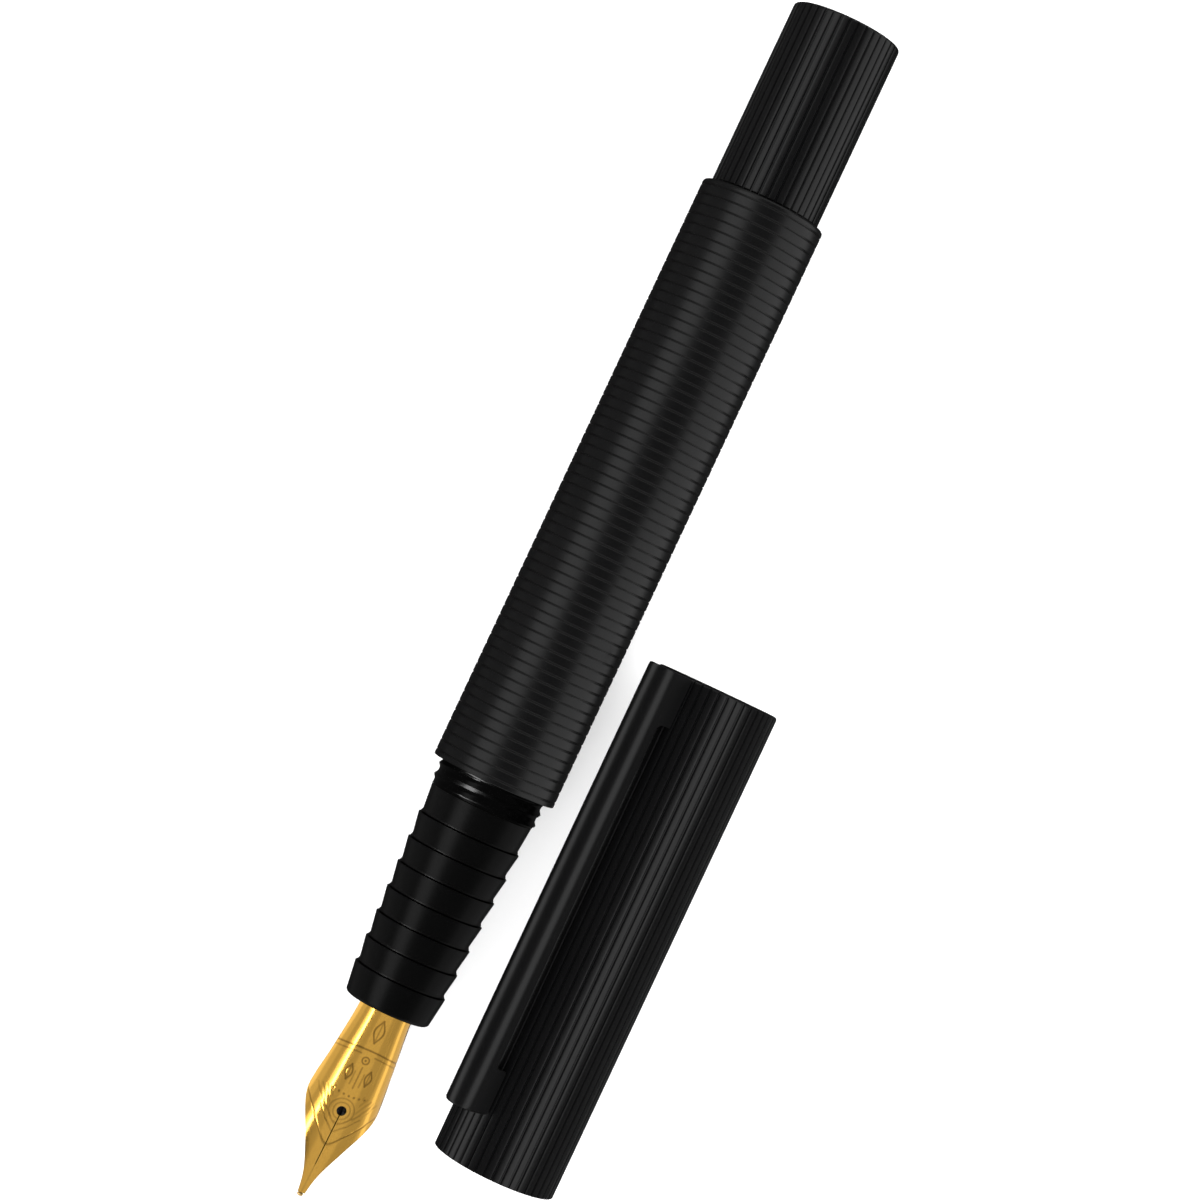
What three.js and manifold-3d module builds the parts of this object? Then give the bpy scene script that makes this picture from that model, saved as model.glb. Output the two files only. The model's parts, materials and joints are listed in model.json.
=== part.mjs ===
// A piston-filling fountain pen lying uncapped, with its screw cap beside it.
// Millimetres, +Z up. The pen's axis runs along +X from the nib's tip to the tail, and the
// cap lies parallel to it on the -Y side, its mouth towards the nib. Both rest on z = 0.
// Stations along the pen count from the nib's tip, and along the cap from its mouth.

import * as THREE from 'three';
import { mergeVertices } from 'three/addons/utils/BufferGeometryUtils.js';
import { ParametricGeometry } from 'three/addons/geometries/ParametricGeometry.js';
import Module from 'manifold-3d';

const wasm = await Module();
wasm.setup();

// Pen: outer dimensions
const NIB_OUT = 20.6;
const GRIP_LENGTH = 22.4;
const GRIP_TIERS = 7;
const TIER_LENGTH = 2.69;
const TOP_TIER_LENGTH = 3;
const NECK_LENGTH = 2.7;
const NECK_RADIUS = 5.74;
const BARREL_LENGTH = 63.5;
const BARREL_RADIUS = 6.56;
const KNOB_LENGTH = 19.65;
const KNOB_RADIUS = 5.775;
const KNOB_FLUTES = 40;

// Pen: bores and the filling mechanism
const FACE_GAP = 0.1;
const SLIDING_GAP = 0.1;
const BARREL_BORE = 5;
const GRIP_BORE = 4.05;
const GUIDE_RADIUS = 3.7;
const SECTION_BORE = 3.45;
const CHAMBER_BORE = 4.2;
const PISTON_TRAVEL = 27;
const ROD_RADIUS = 2.6;
const SCREW_RADIUS = 1.8;
const O_RING_THICKNESS = 0.32;
const NIB_SHEET = 0.35;
const NIB_ROLL = 8;

// Cap
const CAP_LENGTH = 53;
const CAP_RADIUS = 6.5;
const CAP_BORE = 6;
const CAP_FLUTES = 44;
const CAP_OFFSET = 16.56;
const CAP_MOUTH = 10.5;
const FLUTE_DEPTH = 0.2;
const FLUTE_WIDTH = 0.24;

// Clip, in the cap's frame
const CLIP_TILT = 41.5;
const CLIP_WIDTH = 3.5;
const CLIP_TOP = 10.65;
const CLIP_FOOT = 5.5;
const CLIP_ARM = 2.35;
const CLIP_PAD_LENGTH = 4.8;
const CLIP_HEAD_LENGTH = 5.4;
const PIVOT_STATION = 50.1;
const PIVOT_RADIUS = 5;
const PIN_RADIUS = 0.45;
const PIN_LENGTH = 4.4;
const TANG_WIDTH = 2.2;
const CLIP_GAP = 0.25;

// Stations worked out from them
const GRIP_END = NIB_OUT + GRIP_LENGTH;
const NECK_START = GRIP_END + FACE_GAP;
const BARREL_START = NECK_START + NECK_LENGTH;
const BARREL_END = BARREL_START + BARREL_LENGTH;
const KNOB_START = BARREL_END + FACE_GAP;
const KNOB_END = KNOB_START + KNOB_LENGTH;
const TENON_END = BARREL_START + 6.4;
const CHAMBER_START = TENON_END + 0.3;
const CHAMBER_END = CHAMBER_START + PISTON_TRAVEL + 9;
const PISTON_FACE = CHAMBER_END - 5.4;
const ROD_END = PISTON_FACE + PISTON_TRAVEL + 8.4;
const GUIDE_END = ROD_END + 2.5;

const FINISHES = {
  blackMetal: { color: 0x1c1c1d, roughness: 0.38, metalness: 0.85 },
  gripMetal: { color: 0x121213, roughness: 0.5, metalness: 0.7 },
  gold: { color: 0xd3a54a, roughness: 0.22, metalness: 1 },
  tipAlloy: { color: 0xc9c9c6, roughness: 0.25, metalness: 1 },
  glossBlack: { color: 0x0b0b0c, roughness: 0.12, metalness: 0 },
  mattBlack: { color: 0x161616, roughness: 0.6, metalness: 0 },
  clearPlastic: { color: 0xd8dee0, roughness: 0.08, metalness: 0 },
  silicone: { color: 0xd9d4c4, roughness: 0.5, metalness: 0 },
  rubber: { color: 0x181818, roughness: 0.8, metalness: 0 },
  steel: { color: 0xb4b6b8, roughness: 0.3, metalness: 1 },
};

function mesh(name, geometry, finish) {
  const made = new THREE.Mesh(geometry, new THREE.MeshStandardMaterial(FINISHES[finish]));
  made.name = name;
  return made;
}

// Booleans

function toSolid(geometry) {
  const bare = geometry.clone();
  bare.deleteAttribute('normal');
  bare.deleteAttribute('uv');
  const merged = mergeVertices(bare, 1e-4);
  return new wasm.Manifold(new wasm.Mesh({
    numProp: 3,
    vertProperties: merged.attributes.position.array,
    triVerts: new Uint32Array(merged.index.array),
  }));
}

function toGeometry(solid) {
  const data = solid.getMesh();
  const geometry = new THREE.BufferGeometry();
  geometry.setAttribute('position', new THREE.BufferAttribute(data.vertProperties, 3));
  geometry.setIndex(new THREE.BufferAttribute(data.triVerts, 1));
  geometry.computeVertexNormals();
  return geometry;
}

function cut(geometry, ...tools) {
  return toGeometry(tools.reduce((solid, tool) => solid.subtract(toSolid(tool)), toSolid(geometry)));
}

// Cutting tools run past the piece that they cut by this much.
const OVERRUN = 1;

// Basic forms

// Turns [station, radius] points about the X axis: outer points towards the tail, inner points back.
// An outline that starts off the axis is closed on itself.
function turned(outline, segments = 32) {
  const points = outline.map(([station, radius]) => new THREE.Vector2(radius, station));
  if (points[0].x > 0) points.push(points[0].clone());
  return new THREE.LatheGeometry(points, segments).rotateZ(-Math.PI / 2);
}

function tube(start, end, inner, outer, segments = 28) {
  return turned([[start, outer], [end, outer], [end, inner], [start, inner]], segments);
}

function rod(start, end, radius, segments = 24) {
  return turned([[start, 0], [start, radius], [end, radius], [end, 0]], segments);
}

function ring(station, radius, thickness) {
  return new THREE.TorusGeometry(radius, thickness, 6, 28).rotateY(Math.PI / 2).translate(station, 0, 0);
}

// A box from its lowest and highest corners.
function block(low, high) {
  const size = high.map((value, i) => value - low[i]);
  const middle = high.map((value, i) => (value + low[i]) / 2);
  return new THREE.BoxGeometry(...size).translate(...middle);
}

// An upright round bar at a station.
function upright(station, radius, low, high) {
  const bar = new THREE.CylinderGeometry(radius, radius, high - low, 20);
  return bar.rotateX(Math.PI / 2).translate(station, 0, (low + high) / 2);
}

// A bar along X with V-shaped flutes all round and a small chamfer at both ends.
function flutedBar(start, end, radius, count) {
  const chamfer = 0.2;
  const pitch = (2 * Math.PI) / count;
  const half = FLUTE_WIDTH / 2 / radius;
  const shape = new THREE.Shape();
  const points = [];
  for (let i = 0; i < count; i++) {
    const angle = i * pitch;
    points.push([angle, radius - FLUTE_DEPTH], [angle + half, radius], [angle + pitch - half, radius]);
  }
  shape.setFromPoints(points.map(([a, r]) => new THREE.Vector2(-r * Math.cos(a), r * Math.sin(a))));
  const geometry = new THREE.ExtrudeGeometry(shape, {
    depth: end - start - 2 * chamfer,
    bevelSize: chamfer,
    bevelThickness: chamfer,
    bevelOffset: -chamfer,
    bevelSegments: 1,
  });
  return geometry.rotateY(Math.PI / 2).translate(start + chamfer, 0, 0);
}

// Nib: a sheet bent round an axis under it, by station along the pen

const NIB_FRONT = 0.44;
const NIB_BACK = NIB_OUT + 6.4;
const SHOULDER = 10.6;
const BREATHER = 9.75;
const BREATHER_RADIUS = 0.5;
const SLIT_WIDTH = 0.12;
const WIDEST_BEND = 0.985;
const NIB_CLEAR = 4;

function curveAt(points) {
  const curve = new THREE.SplineCurve(points.map(([x, y]) => new THREE.Vector2(x, y)));
  const samples = curve.getPoints(120);
  return (x) => {
    const i = Math.max(1, samples.findIndex((p) => p.x >= x));
    const [a, b] = [samples[i - 1], samples[i]];
    return THREE.MathUtils.mapLinear(x, a.x, b.x, a.y, b.y);
  };
}

const nibHalfWidth = curveAt([
  [-0.1, 0.3], [2.6, 0.8], [5.8, 2.07], [9, 3.52], [SHOULDER, 3.82], [15, 3.34], [NIB_OUT, 2.8], [28, 2.75],
]);
const nibBend = curveAt([[-0.1, 2.2], [5.8, 3.4], [SHOULDER, 4.1], [15, 3.6], [NIB_OUT, 2.87], [28, 2.87]]);
const nibCrown = curveAt([[-0.1, 0.5], [5.8, 1.5], [SHOULDER, 2.15], [NIB_OUT, 2.87], [28, 2.87]]);

// The solid between two offsets from the nib's outer face, out to a half width in plan.
function nibSolid(outer, inner, halfWidth, stations = 20, across = 10) {
  const ringPoints = 2 * across;
  const surface = (u, v, target) => {
    const row = Math.round(u * (stations + 2));
    const x = THREE.MathUtils.lerp(NIB_FRONT, NIB_BACK, THREE.MathUtils.clamp(row - 1, 0, stations) / stations);
    const closing = row === 0 || row === stations + 2;
    const step = Math.round(v * ringPoints) % ringPoints;
    const top = step < across;
    const fraction = top ? step / (across - 1) : (ringPoints - 1 - step) / (across - 1);
    const bend = nibBend(x);
    const reach = halfWidth(x, bend);
    const angle = (2 * fraction - 1) * reach;
    const middle = (outer + inner) / 2;
    const radius = bend + (closing ? middle : top ? outer : inner);
    target.set(x, radius * Math.sin(angle), nibCrown(x) - bend + radius * Math.cos(angle));
  };
  return new ParametricGeometry(surface, ringPoints, stations + 2);
}

function nib() {
  const reach = (x, bend) => Math.asin(Math.min(WIDEST_BEND, nibHalfWidth(x) / bend));
  const sheet = nibSolid(0, -NIB_SHEET, reach);
  const hole = upright(BREATHER, BREATHER_RADIUS, -OVERRUN, NIB_CLEAR);
  const slit = block([-OVERRUN, -SLIT_WIDTH / 2, -NIB_CLEAR], [BREATHER, SLIT_WIDTH / 2, NIB_CLEAR]);
  return cut(sheet, hole, slit);
}

// A hard pellet in front of the tines' ends, a little deeper than the sheet.
function nibTipping() {
  const half = (NIB_FRONT - 0.02) / 2;
  const [width, height] = [0.33, 0.34];
  const pellet = new THREE.SphereGeometry(1, 14, 10).scale(half, width, height);
  return pellet.translate(half, 0, nibCrown(NIB_FRONT) - height);
}

// Feed: a finned plug that fills the space under the nib and tapers to the front.
function feed() {
  const [front, back, tail] = [3.4, NIB_OUT + 17.4, NIB_BACK + 3];
  const [tipRadius, bodyRadius, tailRadius] = [0.5, 2.42, 1.3];
  const [finStart, finPitch, finSlot, finDepth, fins] = [9.6, 1.3, 0.6, 0.7, 8];
  const outline = [[front, 0], [front, tipRadius], [front + 1.6, 1.15], [finStart, 1.95]];
  for (let i = 0; i < fins; i++) {
    const x = finStart + i * finPitch;
    const radius = Math.min(2.4, 2 + 0.05 * i);
    outline.push([x, radius], [x, radius - finDepth], [x + finSlot, radius - finDepth], [x + finSlot, radius]);
  }
  outline.push([NIB_OUT, bodyRadius], [tail, bodyRadius], [tail, tailRadius], [back, tailRadius], [back, 0]);
  const [underNib, overNib, halfTurn] = [-NIB_SHEET - 0.05, 2.5, Math.PI * 0.56];
  const keepOut = nibSolid(overNib, underNib, () => halfTurn);
  const [channelHalf, channelFloor] = [0.2, 0.2];
  const channel = block([front + 1, -channelHalf, channelFloor], [back + OVERRUN, channelHalf, NIB_CLEAR]);
  return cut(turned(outline, 20), keepOut, channel);
}

// Grip section

function gripSleeve() {
  const [wide, step, taper, end] = [4.94, 0.095, 0.375, 5.47];
  const mouthRound = 0.4;
  const outline = [[NIB_OUT, wide - taper - mouthRound], [NIB_OUT + mouthRound, wide - taper]];
  const firstStep = GRIP_END - TOP_TIER_LENGTH - (GRIP_TIERS - 1) * TIER_LENGTH;
  for (let i = 0; i < GRIP_TIERS; i++) {
    const x = firstStep + i * TIER_LENGTH;
    outline.push([x, wide + i * step], [x, wide + (i + 1) * step - taper]);
  }
  outline.push([GRIP_END, end], [GRIP_END, GRIP_BORE], [NIB_OUT, GRIP_BORE]);
  return turned(outline);
}

const SECTION_RING = BARREL_START + 1.25;

function innerSection() {
  const [front, throughBore] = [NIB_OUT + 0.6, 2.7];
  const [sleeveRadius, tenonRadius] = [GRIP_BORE - 0.1, BARREL_BORE - 0.1];
  const [threadDepth, crests, crestHalf] = [0.27, 2, 0.4];
  const groove = { start: SECTION_RING - 0.45, width: 0.9, radius: 4.15 };
  const seatEnd = NIB_BACK + 6;
  const shoulder = BARREL_START - FACE_GAP;
  const root = NECK_RADIUS - threadDepth;
  const crestPitch = NECK_LENGTH / (crests + 0.2);
  const outline = [[front, sleeveRadius], [NECK_START, sleeveRadius], [NECK_START, root]];
  for (let i = 0; i < crests; i++) {
    const x = NECK_START + (i + 0.6) * crestPitch;
    outline.push([x - crestHalf, root], [x, NECK_RADIUS], [x + crestHalf, root]);
  }
  outline.push(
    [shoulder, root], [shoulder, tenonRadius],
    [groove.start, tenonRadius], [groove.start, groove.radius],
    [groove.start + groove.width, groove.radius], [groove.start + groove.width, tenonRadius],
    [TENON_END, tenonRadius], [TENON_END, throughBore], [seatEnd, throughBore],
    [seatEnd, SECTION_BORE], [front, SECTION_BORE],
  );
  return turned(outline);
}

const sectionORing = () => ring(SECTION_RING, 4.52, O_RING_THICKNESS);
const nibCollar = () => tube(NIB_OUT + 0.3, NIB_BACK + 5.6, 2.95, SECTION_BORE - SLIDING_GAP, 32);

// Barrel and filling mechanism

function barrel() {
  const shoulder = 0.45;
  const corner = shoulder * (1 - Math.SQRT1_2);
  return turned([
    [BARREL_START, BARREL_RADIUS], [BARREL_END - shoulder, BARREL_RADIUS],
    [BARREL_END - corner, BARREL_RADIUS - corner], [BARREL_END, BARREL_RADIUS - shoulder],
    [BARREL_END, BARREL_BORE], [BARREL_START, BARREL_BORE],
  ], 40);
}

const inkChamber = () => tube(CHAMBER_START, CHAMBER_END, CHAMBER_BORE, BARREL_BORE - 0.15, 32);

const PISTON_HEAD = 0.5;
const PISTON_NECK = 1.55;

function pistonSeal() {
  const [lip, waist, bore, length] = [CHAMBER_BORE - 0.08, 3.4, PISTON_NECK + SLIDING_GAP, 4.2];
  const [lipLength, waistStart] = [0.7, 1.2];
  const start = PISTON_FACE + PISTON_HEAD + SLIDING_GAP;
  const end = start + length;
  return turned([
    [start, lip], [start + lipLength, lip], [start + waistStart, waist], [end - waistStart, waist],
    [end - lipLength, lip], [end, lip], [end, bore], [start, bore],
  ], 32);
}

function pistonRod() {
  const bore = SCREW_RADIUS + SLIDING_GAP;
  const neckStart = PISTON_FACE + PISTON_HEAD;
  const neckEnd = neckStart + 4.4;
  const boreStart = neckEnd + 0.8;
  return turned([
    [PISTON_FACE, 0], [PISTON_FACE, ROD_RADIUS], [neckStart, ROD_RADIUS], [neckStart, PISTON_NECK],
    [neckEnd, PISTON_NECK], [neckEnd, ROD_RADIUS], [ROD_END, ROD_RADIUS],
    [ROD_END, bore], [boreStart, bore], [boreStart, 0],
  ], 24);
}

const SPINDLE_FLANGE = GUIDE_END + 0.2;
const SHANK_RADIUS = 2.1;
const SHANK_LENGTH = 5.4;

function spindle() {
  const start = PISTON_FACE + 6.1;
  const [flangeRadius, flangeLength, chamfer] = [3.3, 1.2, 0.4];
  const flangeEnd = SPINDLE_FLANGE + flangeLength;
  const shankEnd = flangeEnd + SHANK_LENGTH;
  return turned([
    [start, 0], [start, SCREW_RADIUS - chamfer], [start + chamfer, SCREW_RADIUS],
    [SPINDLE_FLANGE, SCREW_RADIUS], [SPINDLE_FLANGE, flangeRadius],
    [flangeEnd, flangeRadius], [flangeEnd, SHANK_RADIUS], [shankEnd, SHANK_RADIUS], [shankEnd, 0],
  ], 24);
}

const RING_STATION = KNOB_START + 2.4;

function pistonGuide() {
  const [start, outer, shoulder] = [CHAMBER_END + 0.4, BARREL_BORE - 0.1, BARREL_END - 0.2];
  const [grooveRadius, grooveHalf] = [3.1, 0.45];
  const bore = ROD_RADIUS + SLIDING_GAP;
  return turned([
    [start, outer], [shoulder, outer], [shoulder, GUIDE_RADIUS],
    [RING_STATION - grooveHalf, GUIDE_RADIUS], [RING_STATION - grooveHalf, grooveRadius],
    [RING_STATION + grooveHalf, grooveRadius], [RING_STATION + grooveHalf, GUIDE_RADIUS],
    [GUIDE_END, GUIDE_RADIUS], [GUIDE_END, bore], [start, bore],
  ], 32);
}

const knobORing = () => ring(RING_STATION, 3.52, O_RING_THICKNESS);

function turningKnob() {
  const [bore, boreEnd] = [GUIDE_RADIUS + 0.3, SPINDLE_FLANGE + 1.5];
  const [socket, socketEnd] = [SHANK_RADIUS + SLIDING_GAP, boreEnd + SHANK_LENGTH - 0.1];
  const hollow = turned([
    [KNOB_START - OVERRUN, 0], [KNOB_START - OVERRUN, bore], [boreEnd, bore],
    [boreEnd, socket], [socketEnd, socket], [socketEnd, 0],
  ], 32);
  return cut(flutedBar(KNOB_START, KNOB_END, KNOB_RADIUS, KNOB_FLUTES), hollow);
}

// Cap

const HEAD_START = CAP_LENGTH - 4.8;
const HEAD_END = CAP_LENGTH - 0.05;
const LINING_RADIUS = CAP_BORE - 0.1;

// An opening for the clip's tang, with room in front of it, behind it and on both sides.
function tangOpening(front, side, floor) {
  const half = TANG_WIDTH / 2 + side;
  return block([PIVOT_STATION - front, -half, floor], [PIVOT_STATION + 2.1, half, CAP_RADIUS + OVERRUN]);
}

// An opening through the cap's wall and a slot in its head take the clip's tang.
function capShell() {
  const bar = flutedBar(0, CAP_LENGTH, CAP_RADIUS, CAP_FLUTES);
  const bore = rod(-OVERRUN, CAP_LENGTH + OVERRUN, CAP_BORE, 40);
  return cut(bar, bore, tangOpening(1.2, 0.4, 4));
}

function capThreadInsert() {
  const [start, end, inner, crest] = [0.6, 6, 5.8, 5.56];
  const [pitch, crestHalf, crests] = [1.2, 0.3, 2];
  const outline = [[start, LINING_RADIUS], [end, LINING_RADIUS], [end, inner]];
  for (let i = crests; i > 0; i--) {
    const x = start + (i + 0.4) * pitch;
    outline.push([x + crestHalf, inner], [x, crest], [x - crestHalf, inner]);
  }
  outline.push([start, inner]);
  return turned(outline);
}

function innerCap() {
  const [start, end, inner, wall] = [BARREL_START - NIB_OUT - 0.2, HEAD_START - 0.3, 4.3, 1];
  return turned([
    [start, LINING_RADIUS], [end, LINING_RADIUS], [end, 0],
    [end - wall, 0], [end - wall, inner], [start, inner],
  ]);
}

function capHead() {
  const plug = rod(HEAD_START, HEAD_END, LINING_RADIUS, 36);
  const pocket = upright(SPRING_STATION, 1.2, 2.2, 4.2);
  return cut(plug, tangOpening(1.1, 0.3, 3.6), pinHole(), pocket);
}

function crossPin(radius, length) {
  return new THREE.CylinderGeometry(radius, radius, length, 16).translate(PIVOT_STATION, 0, PIVOT_RADIUS);
}

const pinHole = () => crossPin(PIN_RADIUS + 0.05, 2 * CAP_RADIUS + OVERRUN);
const clipPin = () => crossPin(PIN_RADIUS, PIN_LENGTH);

const SPRING_STATION = PIVOT_STATION + 1.15;

function clipSpring() {
  const [turns, radius, wire, low, high] = [3, 0.75, 0.12, 2.38, 3.72];
  const steps = turns * 8;
  const points = [];
  for (let i = 0; i <= steps; i++) {
    const angle = (i / steps) * turns * 2 * Math.PI;
    const height = THREE.MathUtils.lerp(low, high, i / steps);
    points.push(new THREE.Vector3(
      SPRING_STATION + radius * Math.cos(angle), radius * Math.sin(angle), height,
    ));
  }
  const section = new THREE.Shape().absarc(0, 0, wire, 0, 2 * Math.PI);
  return new THREE.ExtrudeGeometry(section, {
    steps,
    curveSegments: 5,
    bevelEnabled: false,
    extrudePath: new THREE.CatmullRomCurve3(points),
  });
}

// Clip: its side outline, narrowed by its cross-section, with a tang that reaches into the cap.
function clip() {
  const [inside, underArm, end] = [CAP_RADIUS - OVERRUN, CLIP_TOP - CLIP_ARM, CAP_LENGTH - 0.1];
  const headStart = CAP_LENGTH - CLIP_HEAD_LENGTH;
  const padEnd = CLIP_FOOT + CLIP_PAD_LENGTH;
  const [round, inner] = [0.3, 0.7];
  const side = new THREE.Shape();
  side.moveTo(CLIP_FOOT, inside);
  side.lineTo(CLIP_FOOT, CLIP_TOP - round);
  side.absarc(CLIP_FOOT + round, CLIP_TOP - round, round, Math.PI, Math.PI / 2, true);
  side.lineTo(end, CLIP_TOP);
  side.lineTo(end, inside);
  side.lineTo(headStart, inside);
  side.lineTo(headStart, underArm - inner);
  side.absarc(headStart - inner, underArm - inner, inner, 0, Math.PI / 2, false);
  side.lineTo(padEnd, underArm);
  side.lineTo(padEnd, inside);
  const profile = extrudedBar(side, CLIP_WIDTH * 2).translate(0, CLIP_WIDTH, 0);

  const half = CLIP_WIDTH / 2;
  const section = new THREE.Shape();
  section.moveTo(-half, 0);
  section.lineTo(half, 0);
  section.lineTo(half, CLIP_TOP - half);
  section.absarc(0, CLIP_TOP - half, half, 0, Math.PI, false);
  const body = new THREE.ExtrudeGeometry(section, { depth: CAP_LENGTH, bevelEnabled: false, curveSegments: 8 });
  body.rotateX(Math.PI / 2).rotateZ(Math.PI / 2);

  const clearance = rod(-OVERRUN, CAP_LENGTH + OVERRUN, CAP_RADIUS + CLIP_GAP, 72);
  const tangHalf = TANG_WIDTH / 2;
  const tang = block([PIVOT_STATION - 0.8, -tangHalf, 4], [PIVOT_STATION + 1.8, tangHalf, CLIP_TOP - CLIP_ARM]);
  const bar = toSolid(profile).intersect(toSolid(body)).subtract(toSolid(clearance));
  return toGeometry(bar.add(toSolid(tang)).subtract(toSolid(pinHole())));
}

// Extrudes an outline drawn in station and height along Y, towards -Y.
function extrudedBar(shape, width) {
  return new THREE.ExtrudeGeometry(shape, { depth: width, bevelEnabled: false, curveSegments: 5 })
    .rotateX(Math.PI / 2);
}

// Assembly

const pen = new THREE.Group();
pen.position.set(0, 0, BARREL_RADIUS);
pen.add(
  mesh('grip_sleeve', gripSleeve(), 'gripMetal'),
  mesh('inner_section', innerSection(), 'glossBlack'),
  mesh('section_o_ring', sectionORing(), 'rubber'),
  mesh('barrel', barrel(), 'blackMetal'),
  mesh('ink_chamber', inkChamber(), 'clearPlastic'),
  mesh('piston_seal', pistonSeal(), 'silicone'),
  mesh('piston_rod', pistonRod(), 'mattBlack'),
  mesh('spindle', spindle(), 'mattBlack'),
  mesh('piston_guide', pistonGuide(), 'mattBlack'),
  mesh('knob_o_ring', knobORing(), 'rubber'),
  mesh('turning_knob', turningKnob(), 'blackMetal'),
);

const nibUnit = new THREE.Group();
nibUnit.rotation.x = THREE.MathUtils.degToRad(NIB_ROLL);
nibUnit.add(
  mesh('nib', nib(), 'gold'),
  mesh('nib_tipping', nibTipping(), 'tipAlloy'),
  mesh('feed', feed(), 'mattBlack'),
  mesh('nib_collar', nibCollar(), 'mattBlack'),
);
pen.add(nibUnit);

const cap = new THREE.Group();
cap.position.set(CAP_MOUTH, -CAP_OFFSET, CAP_RADIUS);
cap.rotation.x = -THREE.MathUtils.degToRad(CLIP_TILT);
cap.add(
  mesh('cap_shell', capShell(), 'blackMetal'),
  mesh('cap_thread_insert', capThreadInsert(), 'glossBlack'),
  mesh('inner_cap', innerCap(), 'mattBlack'),
  mesh('cap_head', capHead(), 'blackMetal'),
  mesh('clip', clip(), 'blackMetal'),
  mesh('clip_pin', clipPin(), 'steel'),
  mesh('clip_spring', clipSpring(), 'steel'),
);

// The origin is the centre of the underside of the whole object's box.
const object = new THREE.Group();
object.add(pen, cap);
object.updateMatrixWorld(true);
const box = new THREE.Box3().setFromObject(object, true);
const centre = box.getCenter(new THREE.Vector3());
object.position.set(-centre.x, -centre.y, -box.min.z);

export default object;
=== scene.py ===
"""Looks for the fountain pen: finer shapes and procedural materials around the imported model.

Shapes are made in millimetres along their own axis and placed by a matrix, so that every size
below reads as on a drawing. The pen's stations count from the nib's tip, the cap's from its mouth.
"""

import json
import math

import bmesh
import bpy
from mathutils import Matrix, Vector


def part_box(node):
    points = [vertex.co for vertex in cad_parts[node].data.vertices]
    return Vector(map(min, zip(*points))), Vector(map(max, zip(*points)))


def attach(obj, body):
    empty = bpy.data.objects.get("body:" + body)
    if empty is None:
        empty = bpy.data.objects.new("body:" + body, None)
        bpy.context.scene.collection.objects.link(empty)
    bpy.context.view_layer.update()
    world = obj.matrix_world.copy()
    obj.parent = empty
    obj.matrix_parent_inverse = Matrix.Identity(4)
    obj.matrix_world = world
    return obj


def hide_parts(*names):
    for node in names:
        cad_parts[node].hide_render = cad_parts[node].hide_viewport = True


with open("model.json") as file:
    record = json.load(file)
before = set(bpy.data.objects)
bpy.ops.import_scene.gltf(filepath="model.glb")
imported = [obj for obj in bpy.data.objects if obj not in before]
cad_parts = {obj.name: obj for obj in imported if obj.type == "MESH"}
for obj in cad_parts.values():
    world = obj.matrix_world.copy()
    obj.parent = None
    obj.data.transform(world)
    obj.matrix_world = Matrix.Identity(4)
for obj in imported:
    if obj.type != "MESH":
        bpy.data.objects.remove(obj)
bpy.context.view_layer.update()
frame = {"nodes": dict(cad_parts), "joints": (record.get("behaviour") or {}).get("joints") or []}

MM = 0.001


# Places, from the frame

def centre(node):
    low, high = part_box(node)
    return (low + high) / 2


barrel_low, barrel_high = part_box("barrel")
knob_low, knob_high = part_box("turning_knob")
grip_low, grip_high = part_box("grip_sleeve")
cap_low, cap_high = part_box("cap_shell")
joint_of = {joint["name"]: joint for joint in frame["joints"]}

PEN_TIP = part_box("nib_tipping")[0].x
PEN_AXIS = Vector((PEN_TIP, centre("barrel").y, centre("barrel").z))
CAP_AXIS = Vector((cap_low.x, centre("inner_cap").y, centre("inner_cap").z))

GRIP_START = (grip_low.x - PEN_TIP) / MM
GRIP_END = (grip_high.x - PEN_TIP) / MM
BARREL_START = (barrel_low.x - PEN_TIP) / MM
BARREL_END = (barrel_high.x - PEN_TIP) / MM
KNOB_START = (knob_low.x - PEN_TIP) / MM
KNOB_END = (knob_high.x - PEN_TIP) / MM
CAP_LENGTH = (cap_high.x - cap_low.x) / MM

# The clip's hinge lies across the cap, so its axis gives the tilt of the clip about the cap.
clip_axis = Vector(joint_of["clip_lift"]["axis"])
CLIP_TILT = math.atan2(clip_axis.z, clip_axis.y)
NIB_ROLL = math.radians(8)

PEN_PLACE = Matrix.Translation(PEN_AXIS) @ Matrix.Scale(MM, 4)
NIB_PLACE = PEN_PLACE @ Matrix.Rotation(NIB_ROLL, 4, "X")
CAP_PLACE = Matrix.Translation(CAP_AXIS) @ Matrix.Scale(MM, 4) @ Matrix.Rotation(CLIP_TILT, 4, "X")


# Mesh building

# A turned piece without a bore keeps this radius open, so that its outline still closes.
PINHOLE = 0.02


def finish_mesh(name, bm, place, material, sharp=30.0):
    """Turns a bmesh in millimetres into a placed object with smooth faces and crisp edges."""
    bmesh.ops.recalc_face_normals(bm, faces=bm.faces)
    mesh = bpy.data.meshes.new(name)
    bm.to_mesh(mesh)
    bm.free()
    mesh.transform(place)
    mesh.polygons.foreach_set("use_smooth", [True] * len(mesh.polygons))
    mesh.set_sharp_from_angle(angle=math.radians(sharp))
    if material:
        mesh.materials.append(material)
    piece = bpy.data.objects.new(name, mesh)
    bpy.context.scene.collection.objects.link(piece)
    return piece


def loft(rings, closed=True):
    """A bmesh skin over rings of points. Closed joins the last ring to the first."""
    bm = bmesh.new()
    rows = [[bm.verts.new(point) for point in ring] for ring in rings]
    pairs = list(zip(rows, rows[1:]))
    if closed:
        pairs.append((rows[-1], rows[0]))
    for a, b in pairs:
        count = len(a)
        for i in range(count):
            j = (i + 1) % count
            bm.faces.new((a[i], a[j], b[j], b[i]))
    if not closed:
        bm.faces.new(rows[0])
        bm.faces.new(rows[-1])
    return bm


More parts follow.
